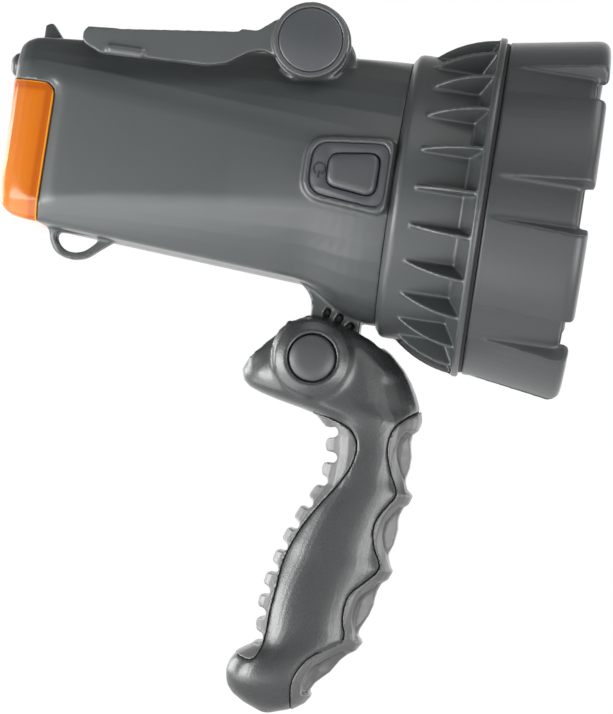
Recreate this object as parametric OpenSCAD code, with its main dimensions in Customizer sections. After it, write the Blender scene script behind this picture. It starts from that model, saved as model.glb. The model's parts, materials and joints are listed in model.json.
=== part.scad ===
// Handheld searchlight: finned head, folding pistol grip, folding stand and amber rear light.
// Millimetres. +X is the beam, +Z is up, the origin is the middle of the hand grip.

/* [Head] */
// radius of the collar flange
flange_r = 59.8; // [58:0.1:62]
// step from the collar barrel out to the flange
collar_step = 9.8; // [9:0.1:10.5]
// step from the body out to the collar barrel
neck_step = 3.5; // [3:0.1:4]
// plane where the collar meets the body
head_x = 2.5; // [0:0.5:4]
// length of the finned collar
collar_len = 31; // [30:0.5:32]
// number of cooling fins
fin_count = 24; // [16:4:32]
// thickness of a fin
fin_t = 1.4; // [1.2:0.1:2]
// thickness of the black seal
seal_t = 1; // [0.8:0.1:1.4]
// length of the rubber bezel
bezel_len = 35; // [34:0.5:36]
// step from the flange in to the bezel between its lobes
bezel_step = 1.2; // [0.8:0.1:1.6]
// how far the lobes stand out past the flange
lobe_out = 3.7; // [3:0.1:4.5]
// number of lobes
lobe_count = 8; // [6:1:10]
// share of the turn that the lobes take at their foot
lobe_share = 0.71; // [0.65:0.01:0.75]
// how far the sides of a lobe lean in from foot to crest
lobe_lean = 2.6; // [1.5:0.1:3.2]
// how far the lobes stand in front of the gaps
lobe_ahead = 3.7; // [3:0.1:4.5]
// clearance of the flange over the height of the grip pivot
pivot_gap = 1.5; // [1:0.1:3]

/* [Body] */
// length of the body behind the collar
body_len = 136; // [134:1:139]
// wall of the housing
wall = 2.6; // [2.4:0.1:3]
// half width at the rear end
half_rear = 25.8; // [25:0.2:27]
// how far the side lies inside the collar circle at the front
side_in = 1.5; // [1:0.1:2]
// how far the top falls from the front to the rear end
top_fall = 10.3; // [9.8:0.1:11]
// how far the top lies inside the collar circle at the front
top_in = 1.4; // [1.2:0.1:2]
// underside below the beam axis at the rear end
low_rear = 27.9; // [27.4:0.1:28.5]
// how far the underside lies inside the collar circle at the front
low_in = 9.6; // [9:0.1:10.4]
// half width of the flat top
top_flat = 19; // [17:0.5:20]
// half width of the flat underside
low_flat = 22; // [20:0.5:23]
// rounding of the rear end
rear_round = 8; // [7:0.5:9]
// length of the flare under the front
flare_len = 30; // [27:1:33]

/* [Rear light] */
// how far the amber lens reaches round the side
lens_len = 15.4; // [14.6:0.1:16.2]
// top edge of the amber lens below the top of the rear end
lens_drop = 15.7; // [15:0.1:16.4]
// wall of the amber lens
amber_wall = 2; // [1.6:0.1:2.4]
// radius of the rear button
rear_button_r = 4.2; // [3.8:0.1:4.6]
// rear button below the top of the rear end
button_drop = 8.6; // [8.2:0.1:9]
// travel of the rear button
rear_travel = 1.5; // [1:0.1:1.8]

/* [Switch] */
// middle of the switch, from the collar plane
switch_x = -16; // [-17:0.25:-15.5]
// middle of the switch over the beam axis
switch_z = 1.8; // [1:0.2:2.6]
// slope of the side face there, degrees
switch_tilt = 8.5; // [7.5:0.25:9.5]
// height of the raised frame
frame_h = 1.6; // [1.2:0.1:2]
// travel of the power button
power_travel = 1.2; // [0.8:0.1:1.4]

/* [Stand] */
// stand pivot from the collar plane
stand_x = -35.2; // [-36:0.2:-34]
// stand pivot over the top of the body at the front
stand_up = 0.1; // [0:0.1:1]
// length of the stand behind its pivot
stand_len = 77.5; // [74:0.5:80]
// radius of the hubs
hub_r = 12.9; // [12.5:0.1:13.2]
// inner half width between the legs
leg_in = 30.8; // [30.6:0.1:32]
// thickness of a leg
leg_t = 5.2; // [4.6:0.1:6]
// radius of the pivot pin
pin_r = 4; // [3.5:0.25:4.5]

/* [Grip] */
// grip pivot ahead of the grip centre
pivot_x = -16.8; // [-17.4:0.2:-16.2]
// grip pivot over the grip centre
pivot_z = 61.2; // [60.8:0.2:61.6]
// half thickness of the ratchet lug
lug_half = 9; // [8.5:0.25:9.5]
// radius of the lug round the pivot
lug_r = 13.5; // [13:0.1:13.8]
// radius of the pivot bolt
bolt_r = 5; // [4.5:0.25:5.5]
// radius of the release button
release_r = 7.95; // [7.6:0.05:8.2]
// travel of the release button
release_travel = 2; // [1.5:0.1:2.2]
// number of grooves in the palm rubber
tooth_count = 10; // [8:1:11]
// how far the rubber stands proud of the grip
proud = 0.5; // [0.3:0.1:0.8]

/* [Fits] */
// running fit of pins, on the radius
run_fit = 0.06; // [0.03:0.01:0.09]
// gap round buttons and moving cheeks
slide_gap = 0.4; // [0.35:0.05:0.5]
// gap of parts that are seated
seat_gap = 0.1; // [0.05:0.05:0.2]

/* [Hidden] */
$fn = 96;

housing_grey = [0.34, 0.36, 0.36];
grip_grey = [0.24, 0.25, 0.26];
rubber_grey = [0.27, 0.28, 0.29];
trim_black = [0.05, 0.05, 0.05];
steel = [0.75, 0.75, 0.77];

// Radii of the head and height of the beam axis
collar_r = flange_r - collar_step;
fin_mid = 0.53 * collar_len;
front_r = collar_r - neck_step;
bezel_r = flange_r - bezel_step;
lobe_r = flange_r + lobe_out;
half_front = front_r - side_in;
top_front = front_r - top_in;
top_rear = top_front - top_fall;
lens_top = top_rear - lens_drop;
rear_button_z = top_rear - button_drop;
low_front = front_r - low_in;
beam_z = pivot_z + flange_r + pivot_gap;
lens_x = body_len - lens_len;
lens_y = lerp(half_front, half_rear, lens_x / body_len) - 0.75;
switch_y = half_front;
stand_z = top_front + stand_up;

// Positions along the head, from the collar plane
seal_x = collar_len;
bezel_x = seal_x + seal_t;
bezel_end = bezel_x + bezel_len;
gap_end = bezel_end - lobe_ahead;
sleeve_r = flange_r - 5.8;
sleeve_in = sleeve_r - 3.5;
sleeve_end = collar_len + 21;
bore_r = sleeve_r + 2.2;
rim_t = 2;
gasket_t = 1.2;
glass_t = 3;
gasket_x = sleeve_end + rim_t;
glass_x = gasket_x + gasket_t;
ring_x = glass_x + glass_t;
ring_end = gap_end + 0.6;
seat_r = bore_r - seat_gap;
spigot_r = front_r - wall - seat_gap;
neck_r = 10;
mouth_r = sleeve_in - 1.5;
focus = 0.2653 * mouth_r;
mouth_x = sleeve_end + rim_t;
vertex_x = mouth_x - mouth_r * mouth_r / (4 * focus);
neck_x = vertex_x + neck_r * neck_r / (4 * focus);
neck_back = neck_x - 11;
bulb_r = 0.54 * neck_r;
holder_t = 5;

// Battery and screws inside the body
cell_w = 40;
cell_x = 22 - body_len;
cell = [neck_back - holder_t - 7.75 - cell_x, cell_w, cell_w];
cell_z = -cell_w / 2;
rib_t = 2.2;
rib_x = [for (f = [0.77, 0.49, 0.22]) -f * body_len];
post_r = 3.6;
post_y = 11;
posts = [for (x = [rib_x[0] - 2.8, rib_x[1] + 3.7]) each [[x, body_top(x) - 9], [x, body_low(x) + 5]]];
screw_r = 1.5;
head_r = 3;
loop_x = 27.5 - body_len;
catch_x = 9 - body_len;

// Switch outlines, along the face and up
frame_line = [[-14.6, 10.6], [-14.6, -10.4], [15.3, -13.4], [15.3, 13.3]];
frame_round = [8, 8, 4, 4];
panel_line = [[-12.4, 8.6], [-12.4, -8.4], [14.1, -11.1], [14.1, 11]];
panel_round = [6.4, 6.4, 4.4, 4.4];
button_line = [[-6.2, 5.2], [-6.2, -5.2], [10.8, -7.4], [10.8, 7.4]];
button_round = [3.6, 3.6, 3.6, 3.6];
panel_y = -0.7;
panel_t = 2.2;
ledge_y = panel_y + panel_t;

// Stand
hub_out = leg_in + leg_t + 1.6;
cap_t = 2.4;
cap_y = hub_out - cap_t;
cap_r = hub_r - 2;
boss_r = hub_r - 0.7;
boss_y = leg_in - slide_gap - 0.2;

// Grip
cheek_in = lug_half + slide_gap;
hub_face = 20.4;
press_y = 15.2;
well_y = press_y - release_travel - 0.6;
well_end = 3.2;
bolt_y = 11.4;
spring_r = 2.7;
wire_r = 0.35;
spring_len = press_y + well_end - release_travel - 1.2;
spring_turns = 6;

// Grip outline: height and rear edge, from the crown down to the butt
rear_edge = [[76, -21], [71, -28], [62, -36.3], [58, -40], [54, -41.5], [51, -40.6], [48.5, -38],
  [45.5, -28], [43.5, -18], [42, -12.5], [37, -8.7], [30, -7.7], [22.5, -8.1], [6.5, -15], [-8.5, -20],
  [-25, -23], [-36, -22.5], [-40, -23.2], [-42, -26], [-45, -29.6], [-50, -31.1], [-55, -30.1],
  [-59, -26.5], [-63, -17]];
// Grip outline: height and front edge without the finger ridges
front_edge = [[76, -14], [73, -2.4], [69, 6.9], [62, 15.2], [56, 19.4], [50, 22.2], [46, 22.8], [42, 21.8],
  [14, 21.3], [-3, 19.4], [-13, 18], [-30, 13.4], [-40, 9.4], [-48, 3], [-54, -1.4], [-60, -5.7],
  [-63, -13.5]];
// Grip half width by height
width_edge = [[76, 12], [73.5, 15.6], [69, 17.2], [62, 17.5], [46, 17], [37, 15.6], [0, 15], [-33, 15.5],
  [-50, 16.4], [-57, 15], [-61, 11.5], [-63, 7]];
// Finger ridges: height and how far each stands out
ridges = [[43.5, 0.9], [17.8, 2.9], [-9.4, 2.8], [-35.4, 2.8], [-56.5, 1.7]];
// Line between the hard grip and the palm rubber
palm_line = [[-14, 42.9], [-8, 41.5], [-1, 39], [2.5, 34], [2, 27], [-2, 19], [-8, 10], [-13, 1],
  [-16.5, -9], [-17.5, -18], [-18.5, -28], [-19, -38], [-20.5, -43], [-23, -45], [-28, -44]];
// Line between the hard grip and the finger rubber
finger_line = [[26, 51], [16, 43], [13.5, 35], [16, 26], [19, 19], [15.5, 13], [13, 7], [14, 0],
  [17, -7], [13, -12.5], [8, -18], [7, -26], [8.5, -33], [4, -37], [-3, -42], [-7, -50], [-6.5, -58],
  [-6, -66]];
grip_screw_at = [[11, 50], [1, 2], [-17, -52]];
grip_levels = [-63, -62.2, -60.5, -58, -55.5, -53, -50, -46.5, -44, -42, -40.5, -38, -34, -31, -25, -18,
  -13, -8, -3, 4, 10, 15, 19, 23, 30, 36, 40, 42, 43.5, 45.5, 47, 48.5, 50.5, 54, 58, 62, 67, 70.5, 73,
  74.8, 76];

function lerp(a, b, t) = a + (b - a) * t;
function clamp01(t) = min(1, max(0, t));
function smooth(t) = let (u = clamp01(t)) u * u * (3 - 2 * u);
function unit(v) = v / norm(v);
function bez(a, b, c, t) = a * (1 - t) * (1 - t) + 2 * b * t * (1 - t) + c * t * t;
function last(v) = v[len(v) - 1];

// Polygon with its corners rounded by r, one value or one for each corner
function rounded(p, r, n = 5) = [for (i = [0 : len(p) - 1])
  let (m = len(p), b = p[i], u = unit(p[(i + m - 1) % m] - b), v = unit(p[(i + 1) % m] - b),
    q = is_list(r) ? r[i] : r, d = q / tan(acos(u * v) / 2))
  for (k = [0 : q > 0 ? n : 0]) bez(b + u * d, b, b + v * d, k / n)];

// Four-cornered outline drawn in by e on every side
function inset(p, e) = [for (q = p) q - [sign(q[0]), sign(q[1])] * e];

// Rings of a crowned outline, each with its place across and how far it draws in
function crowned(p, r, steps) = [for (q = steps)
  [for (v = rounded(inset(p, q[1]), [for (c = r) max(0.8, c - 0.6 * q[1])])) [v[0], q[0], v[1]]]];

// Smooth open curve through points
function curve(p, n = 4) = concat([for (i = [0 : len(p) - 2]) for (k = [0 : n - 1])
  let (t = k / n, a = p[max(i - 1, 0)], b = p[i], c = p[i + 1], d = p[min(i + 2, len(p) - 1)])
  b + 0.5 * t * (c - a + t * (2 * a - 5 * b + 4 * c - d + t * (3 * b - a - 3 * c + d)))], [last(p)]);

// Smooth value at height z from a falling list, with no overshoot
function rise(t, k) = (t[k + 1][1] - t[k][1]) / (t[k + 1][0] - t[k][0]);
function slope(t, k) = k == 0 ? rise(t, 0) : k == len(t) - 1 ? rise(t, k - 1)
  : let (a = rise(t, k - 1), b = rise(t, k)) a * b <= 0 ? 0 : 2 * a * b / (a + b);
function at(t, z) = let (k = max([for (i = [0 : len(t) - 2]) if (t[i][0] >= z) i]),
  h = t[k + 1][0] - t[k][0], s = (z - t[k][0]) / h, a = t[k][1], b = t[k + 1][1])
  a + s * (h * slope(t, k) + s * (3 * (b - a) - h * (2 * slope(t, k) + slope(t, k + 1))
    + s * (h * (slope(t, k) + slope(t, k + 1)) - 2 * (b - a))));

// Solid through rings of equal point count, each end closed by a fan about its middle
function middle(v) = [for (k = [0 : 2]) [for (p = v) 1] * [for (p = v) p[k]] / len(v)];
module loft(rings) {
  n = len(rings[0]);
  m = len(rings);
  end = (m - 1) * n;
  polyhedron(points = concat([for (r = rings) each r], [middle(rings[0]), middle(last(rings))]),
    convexity = 8, faces = concat([for (j = [0 : n - 1]) [j, (j + 1) % n, m * n]],
      [for (j = [0 : n - 1]) [end + (j + 1) % n, end + j, m * n + 1]],
      [for (i = [0 : m - 2]) for (j = [0 : n - 1])
        let (a = i * n + j, b = i * n + (j + 1) % n) each [[a, a + n, b], [b, a + n, b + n]]]));
}

// Solid of revolution about the beam axis from points of length and radius
module turned(profile, angle = 360) {
  rotate([0, 90, 0])
    rotate_extrude(angle = angle)
      polygon([for (p = profile) [p[1], p[0]]]);
}

// Solid of revolution about +Y from points of distance and radius
module turned_y(profile) {
  rotate([-90, 0, 0])
    rotate_extrude()
      polygon([for (p = profile) [p[1], p[0]]]);
}

// Flat side outline spread across the mid plane from y0 to y1
module across(y0, y1) {
  translate([0, y1, 0])
    rotate([90, 0, 0])
      linear_extrude(y1 - y0)
        children();
}

module rod_y(r, y0, y1) {
  translate([0, y1, 0])
    rotate([90, 0, 0])
      cylinder(r = r, h = y1 - y0);
}

module at_head() {
  translate([head_x, 0, beam_z])
    children();
}

module at_pivot() {
  translate([pivot_x, 0, pivot_z])
    children();
}

module at_switch() {
  at_head()
    translate([switch_x, -switch_y, switch_z])
      rotate([0, 0, -switch_tilt])
        children();
}

module at_stand() {
  at_head()
    translate([stand_x, 0, stand_z])
      children();
}

// Body section at x behind the collar, one side, from the top round to the underside
function body_raw(x) = let (
  u = clamp01(-x / body_len),
  zt = lerp(top_front, top_rear, u),
  zb = -lerp(low_front, low_rear, u),
  w = lerp(half_front, half_rear, u),
  zu = lerp(10.9, 24, u),
  zl = -lerp(22, 10, pow(clamp01((x + body_len - 17.5) / (body_len - 44)), 0.75)),
  p1 = [top_flat, zt], p2 = [w, zu], p3 = [w, zl], p4 = [low_flat, zb],
  l1 = norm(p2 - p1), l2 = norm(p4 - p3),
  k1 = (p1 + p2) / 2 + min(4.5, 0.12 * l1) * unit([zt - zu, w - top_flat]),
  k2 = (p3 + p4) / 2 + min(3.5, 0.11 * l2) * unit([zl - zb, low_flat - w]),
  f1 = min(3, l1 / 4), f2 = min(4.5, l1 / 4.5), f3 = min(2.2, l2 / 5), f4 = f3)
  concat([for (k = [0 : 3]) lerp([0, zt], p1 - [f1, 0], k / 4)],
    [for (k = [0 : 3]) bez(p1 - [f1, 0], p1, p1 + f1 * unit(k1 - p1), k / 3)],
    [for (t = [0.3, 0.5, 0.7]) bez(p1, k1, p2, t)],
    [for (k = [0 : 3]) bez(p2 + f2 * unit(k1 - p2), p2, p2 - [0, f2], k / 3)],
    [for (k = [1 : 3]) lerp(p2 - [0, f2], p3 + [0, f3], k / 4)],
    [for (k = [0 : 3]) bez(p3 + [0, f3], p3, p3 + f3 * unit(k2 - p3), k / 3)],
    [for (t = [0.3, 0.5, 0.7]) bez(p3, k2, p4, t)],
    [for (k = [0 : 3]) bez(p4 + f4 * unit(k2 - p4), p4, p4 - [f4, 0], k / 3)],
    [for (k = [1 : 4]) lerp(p4 - [f4, 0], [0, zb], k / 4)]);

// The section turns into the front circle: slowly over the top, quickly in the flare below
function body_half(x, e) = let (s0 = min(0, x),
  back = max(0, rear_round - body_len - x),
  turn = rear_round - sqrt(max(0, rear_round * rear_round - back * back)),
  slow = pow(clamp01((s0 + 70) / 70), 2), fast = smooth((s0 + flare_len) / (flare_len - 5)))
  [for (q = body_raw(s0)) let (r = norm(q), a = atan2(q[0], q[1]),
    m = lerp(slow, fast, smooth((a - 95) / 55)), ins = e + turn * lerp(0.62, 1.14, smooth(a / 170)))
    q * ((lerp(r, front_r, m) - ins) / r)];
function body_low(x) = last(body_half(x, 0))[1];
function body_top(x) = body_half(x, 0)[0][1];
function ring_half(x, e) = [for (q = body_half(x, e)) [x, -q[0], q[1]]];
function ring_full(x, e, step) = let (h = body_half(x, e), n = len(h))
  concat([for (k = [0 : step : n - 1]) [x, -h[k][0], h[k][1]]],
    [for (k = [n - 1 - step : -step : 1]) [x, h[k][0], h[k][1]]]);
rear_x = [for (a = [90 : -22.5 : 0]) rear_round - body_len - rear_round * sin(a)];
body_x = concat(rear_x, [for (f = [0.13, 0.254, 0.366, 0.478, 0.59, 0.687]) (f - 1) * body_len],
  [for (k = [8 : -1 : 0]) -k * flare_len / 8]);
cavity_x = concat([wall - body_len, rear_round - body_len, -lens_x],
  [for (f = [0.75, 0.56, 0.37]) -f * body_len], [for (k = [4 : -1 : 1]) -k * flare_len / 4], [1]);

// Side outline of the rear light, grown by e
module lens_line(e) {
  b = -lens_x + e;
  polygon(rounded([[b, lens_top + e], [-body_len - 9, lens_top + e], [-body_len - 9, -60], [b, -60]],
    [5 + e, 0, 0, 0]));
}

// Side outline of the ratchet lug, grown out of the underside
function under(x) = beam_z + body_low(x - head_x);
lug_back = pivot_x - 3.4;
lug_front = pivot_x + 14.3;
lug_line = concat([[lug_back, pivot_z]],
  [for (k = [0 : 5]) bez([lug_back, under(lug_back) - 7], [lug_back, under(lug_back) - 0.5],
    [lug_back - 7, under(lug_back - 7) + 0.3], k / 5)],
  [for (x = [lug_back - 6 : 2.5 : lug_front]) [x, under(x) + 1.5]],
  [[lug_front, under(lug_front) + 1.5], [lug_front, pivot_z + 8], [pivot_x + 10, pivot_z]]);

// Near half of the body before its own cuts
module body_half_solid() {
  difference() {
    union() {
      at_head() {
        difference() {
          loft([for (x = body_x) ring_half(x, 0)]);
          difference() {
            loft([for (x = cavity_x) ring_full(x, wall + 0.3, 2)]);
            translate([-body_len - 5, -60, -60])
              cube([body_len + 5 - lens_x + wall, 120, 60 + lens_top + wall]);
          }
          translate([-9, 0, 0])
            rotate([0, 90, 0])
              cylinder(r = front_r - wall, h = 12);
          across(-60, 0)
            lens_line(0);
          across(-60, -lens_y)
            lens_line(2.2);
        }
        // Stand boss with its fairing
        intersection() {
          translate([stand_x, 0, stand_z]) {
            rod_y(boss_r, -boss_y + 3, 0);
            rod_y(boss_r + 1.4, -boss_y, -boss_y + 3.2);
          }
          translate([-90, -60, top_rear - 4])
            cube([90, 60, 60]);
        }
        across(-24, 0)
          polygon([[stand_x, stand_z - 6], [stand_x + 15.5, stand_z - 6], [stand_x + 15.5, stand_z - 2.2],
            [stand_x + 11.8, stand_z + 3.7], [stand_x + 9, stand_z + 6]]);
        // Strap loop and rear catch
        translate([loop_x, 0, body_low(loop_x)])
          across(-3, 0)
            difference() {
              polygon(concat(curve([[-10.3, 2.4], [-10.3, -2.4], [-8.4, -6.3], [-4.9, -8.7], [-0.4, -9.4],
                [4.2, -8.2], [8, -5.2], [13, -1.2]], 3), [[13, 1.4]]));
              polygon(concat(curve([[-7, -0.5], [-6.9, -3], [-5.4, -5.3], [-2.8, -6.7], [0.3, -6.9],
                [3.6, -5.7], [7, -2.6]], 3), [[7.6, -0.5]]));
            }
        translate([catch_x, 0, top_rear])
          across(-2, 0)
            polygon(rounded([[-4, -2.6], [-4, 6.6], [-1.6, 7.8], [4.4, 0.8], [4.4, -2.6]],
              [0, 0.8, 1.2, 1.5, 0]));
        // Ribs that hold the battery, and screw posts
        difference() {
          for (x = rib_x)
            translate([x, 0, 0])
              rotate([90, 0, 90])
                linear_extrude(rib_t)
                  polygon([for (q = body_half(x + rib_t / 2, wall / 2)) [-q[0], q[1]]]);
          translate([cell_x - 5, -cell_w / 2 - seat_gap, cell_z - seat_gap])
            cube([cell[0] + 30, cell_w, cell_w + 2 * seat_gap]);
        }
        for (p = posts)
          translate([p[0], 0, p[1]])
            rod_y(post_r, -post_y - 3, 0);
      }
      across(-lug_half, 0)
        polygon(lug_line);
      at_pivot()
        rod_y(lug_r, -lug_half, 0);
    }
    at_pivot() {
      rod_y(bolt_r + run_fit, -lug_half - 1, 1);
      for (a = [50, 66, 82])
        rotate([0, -a, 0])
          translate([lug_r + 1.4, -lug_half - 1, -1.2])
            cube([3.4, 4.5, 2.4]);
    }
    at_stand()
      rod_y(pin_r, -boss_y - 1, 1);
    at_head() {
      translate([-body_len - 5, 0, rear_button_z])
        rotate([0, 90, 0])
          cylinder(r = rear_button_r + slide_gap, h = 9);
      translate([wall - body_len - 1, -7, rear_button_z - 6.5])
        cube([2.6 + rear_travel + slide_gap, 7, 13]);
    }
  }
}

module housing_right() {
  color(housing_grey)
    difference() {
      union() {
        body_half_solid();
        at_switch()
          loft(crowned(frame_line, frame_round, [[3.4, 0], [0.6 - frame_h, 0], [0.1 - frame_h, 0.3],
            [-frame_h - 0.2, 0.8], [-frame_h - 0.3, 1.4], [-frame_h - 0.2, 2.6]]));
      }
      at_switch() {
        across(-frame_h - 2, ledge_y)
          polygon(rounded(inset(panel_line, -seat_gap), [for (r = panel_round) r + seat_gap]));
        across(-frame_h - 2, 9)
          polygon(rounded(inset(panel_line, 1.4), [for (r = panel_round) r - 1.4]));
      }
      at_head()
        for (p = posts)
          translate([p[0], 0, p[1]])
            rod_y(screw_r, -post_y, 1);
    }
}

module housing_left() {
  color(housing_grey)
    difference() {
      mirror([0, 1, 0])
        body_half_solid();
      at_head()
        for (p = posts)
          translate([p[0], 0, p[1]]) {
            rod_y(screw_r, -1, post_y + 1);
            rod_y(head_r + 0.4, post_y, 50);
          }
    }
}

// Finned collar: barrel, cone, flange and the sleeve that carries the bezel
module cooling_collar() {
  color(housing_grey)
    at_head() {
      difference() {
        turned([[0, front_r + 0.5], [1.8, collar_r - 0.4], [2.2, collar_r - 0.4], [2.2, collar_r - 1.1],
          [2.7, collar_r - 1.1], [2.7, collar_r - 0.1], [3.2, collar_r], [collar_len - 6.5, collar_r],
          [collar_len - 2.5, flange_r - 1.8], [collar_len - 2.5, flange_r - 0.5], [collar_len - 2, flange_r],
          [collar_len - 0.5, flange_r], [collar_len, flange_r - 0.5], [collar_len, sleeve_r],
          [sleeve_end, sleeve_r], [sleeve_end, sleeve_in], [collar_len - 3, sleeve_in],
          [collar_len - 9, collar_r - 3.2], [5, collar_r - 3.2], [1, spigot_r - 2.4], [-7, spigot_r - 2.4],
          [-7, spigot_r], [0, spigot_r]]);
        // Notch in the spigot for the switch
        translate([-8, -front_r, switch_z - 14])
          cube([7.6, 20, 28]);
      }
      for (k = [0 : fin_count - 1])
        rotate([k * 360 / fin_count, 0, 0])
          across(-fin_t / 2, fin_t / 2)
            polygon(concat([[collar_len - 2.2, collar_r - 1], [8, collar_r - 1]],
              [for (t = [0 : 0.125 : 1]) bez([7, collar_r - 0.4], [fin_mid, flange_r - 1.9],
                [collar_len - 2, flange_r - 0.6], t)]));
    }
}

module collar_seal() {
  color(trim_black)
    at_head()
      turned([[seal_x, sleeve_r], [seal_x, bezel_r - 0.5], [bezel_x, bezel_r - 0.5], [bezel_x, sleeve_r]]);
}

// Rubber bumper: one flared ring with the gaps cut out between the lobes
module front_bezel() {
  lobe = 360 / lobe_count;
  foot = bezel_r * sin(lobe * (1 - lobe_share) / 2);
  low = bezel_r * cos(lobe * (1 - lobe_share) / 2) - 1;
  nose = [for (k = [0 : 6]) bez([bezel_end - 4.6, lobe_r - 0.1], [bezel_end, lobe_r + 0.4],
    [bezel_end, lobe_r - 4.6], k / 6)];
  color(rubber_grey)
    at_head()
      difference() {
        turned(concat([[bezel_x, sleeve_r + seat_gap], [bezel_x, bezel_r - 0.4], [bezel_x + 0.5, bezel_r],
          [bezel_x + 1.6, bezel_r + 0.1]], nose, [[bezel_end, bore_r + 1.4], [bezel_end - 1.4, bore_r],
          [sleeve_end, bore_r], [sleeve_end, sleeve_r + seat_gap]]));
        for (k = [0 : lobe_count - 1])
          rotate([lobe * k, 0, 0])
            intersection() {
              turned([[bezel_x + 1.2, bezel_r], [gap_end - 1.2, bezel_r - 0.2], [gap_end, bezel_r - 1.2],
                [gap_end, bore_r - 3], [bezel_end + 2, bore_r - 3], [bezel_end + 2, lobe_r + 3],
                [bezel_x + 1.2, lobe_r + 3]]);
              rotate([90, 0, 90])
                linear_extrude(bezel_end + 4)
                  polygon([[-foot, 20], [foot, 20], [foot, low], [foot + 2 * lobe_lean, low + 12],
                    [-foot - 2 * lobe_lean, low + 12], [-foot, low]]);
            }
      }
}

module lens_ring() {
  color(trim_black)
    at_head()
      turned([[ring_x, bore_r - 5], [ring_x, seat_r], [ring_end - 0.6, seat_r], [ring_end, seat_r - 0.6],
        [ring_end, bore_r - 3], [ring_end - 2, bore_r - 5]]);
}

module front_lens() {
  color([0.85, 0.92, 0.95, 0.35])
    at_head()
      turned(concat([[glass_x, 0], [glass_x, seat_r], [ring_x, seat_r]],
        [for (k = [0 : 8]) [ring_x + 2.2 * (1 - pow(1 - k / 8, 2)), (bore_r - 5.2) * (1 - k / 8)]]));
}

module lens_gasket() {
  color(trim_black)
    at_head()
      turned([[gasket_x, bore_r - 4.5], [gasket_x, seat_r], [glass_x, seat_r], [glass_x, bore_r - 4.5]]);
}

// Parabolic reflector with its rim and bulb neck
module reflector() {
  dish = [for (k = [0 : 14]) let (r = lerp(neck_r, mouth_r, k / 14)) [vertex_x + r * r / (4 * focus), r]];
  color(steel)
    at_head()
      turned(concat([[neck_back, neck_r]], dish, [[mouth_x, seat_r], [sleeve_end, seat_r],
        [sleeve_end, mouth_r + 0.7]], [for (k = [13 : -1 : 1]) dish[k] + [-1.3, 0.9]],
        [[neck_x - 1.5, neck_r + 2], [neck_back, neck_r + 2]]));
}

module bulb_glass() {
  color([0.95, 0.95, 0.9, 0.5])
    at_head()
      turned(concat([[neck_x + 2, 0], [neck_x + 2, bulb_r], [neck_x + 14, bulb_r]],
        [for (a = [15 : 15 : 90]) [neck_x + 14 + bulb_r * sin(a), bulb_r * cos(a)]]));
}

module bulb_base() {
  color(steel)
    at_head()
      turned([[neck_back, 0], [neck_back, neck_r - seat_gap], [neck_x - 3, neck_r - seat_gap],
        [neck_x - 3, bulb_r + 1.6], [neck_x + 2, bulb_r + 0.8], [neck_x + 2, 0]]);
}

module bulb_holder() {
  color(trim_black)
    at_head()
      difference() {
        turned([[neck_back - holder_t, 0], [neck_back - holder_t, neck_r + 2],
          [neck_back - holder_t + 1.5, neck_r + 4],
          [neck_back + 6, neck_r + 4], [neck_back + 6, neck_r + 2 + seat_gap],
          [neck_back, neck_r + 2 + seat_gap], [neck_back, 0]]);
        for (y = [-4.5, 4.5])
          translate([neck_back - holder_t - 1, y, 0])
            cube([2.4, 1, 6], center = true);
      }
}

// Sealed battery block with a stepped lid
module battery() {
  color([0.16, 0.17, 0.2])
    at_head()
      translate([cell_x, -cell[1] / 2, cell_z]) {
        cube([cell[0] - 4, cell[1], cell[2]]);
        translate([cell[0] - 4.2, 1, 1])
          cube([4.2, cell[1] - 2, cell[2] - 2]);
      }
}

module battery_terminals() {
  color(steel)
    at_head()
      for (y = [-11, 11])
        translate([cell_x + cell[0], y - 3, cell_z + cell[2] - 10])
          cube([6, 6, 0.8]);
}

module switch_panel() {
  color(grip_grey)
    at_switch()
      across(panel_y, ledge_y)
        difference() {
          polygon(rounded(panel_line, panel_round));
          polygon(rounded(inset(button_line, -slide_gap), [for (r = button_round) r + slide_gap]));
        }
}

// Push button with its retaining flange and stem
module power_button() {
  color(grip_grey)
    at_switch() {
      loft(crowned(button_line, button_round, [[ledge_y + 1, 0], [-1.5, 0], [-2.1, 0.25], [-2.5, 0.7],
        [-2.7, 1.3], [-2.8, 2.6]]));
      across(ledge_y + slide_gap, ledge_y + 1.6)
        polygon(rounded(inset(button_line, -1.1), button_round));
      translate([2.5, 0, 0])
        rod_y(2.4, ledge_y + 1, ledge_y + 3.4);
    }
}

module main_switch() {
  y0 = ledge_y + 3.4 + power_travel + slide_gap;
  x0 = panel_line[0][0] + 1.7;
  color(trim_black)
    at_switch() {
      translate([-6, y0, -6])
        cube([15, 10, 12]);
      translate([x0, y0, -3.5])
        cube([9 - x0, 1.6, 7]);
      translate([x0, ledge_y, -3.5])
        cube([1.6, y0 - ledge_y + 1, 7]);
    }
}

// Wrap-round amber lens, flush with the body
module amber_lens() {
  color([0.95, 0.5, 0.08, 0.85])
    at_head()
      difference() {
        intersection() {
          loft([for (x = concat(rear_x, [1.5 - lens_x])) ring_full(x, seat_gap, 1)]);
          across(-60, 60)
            lens_line(-seat_gap);
        }
        intersection() {
          loft([for (x = [amber_wall - body_len, amber_wall - body_len + 2.3, rear_round - body_len,
            2 - lens_x]) ring_full(x, amber_wall + 0.4, 2)]);
          across(-60, 60)
            difference() {
              lens_line(8);
              translate([-body_len - 20, lens_top - amber_wall])
                square([60, 40]);
            }
        }
      }
}

module lamp_board() {
  color([0.1, 0.3, 0.16])
    at_head()
      translate([-lens_x - 1.6, -17, -17])
        cube([1.6, 34, lens_top + 12]);
}

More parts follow.
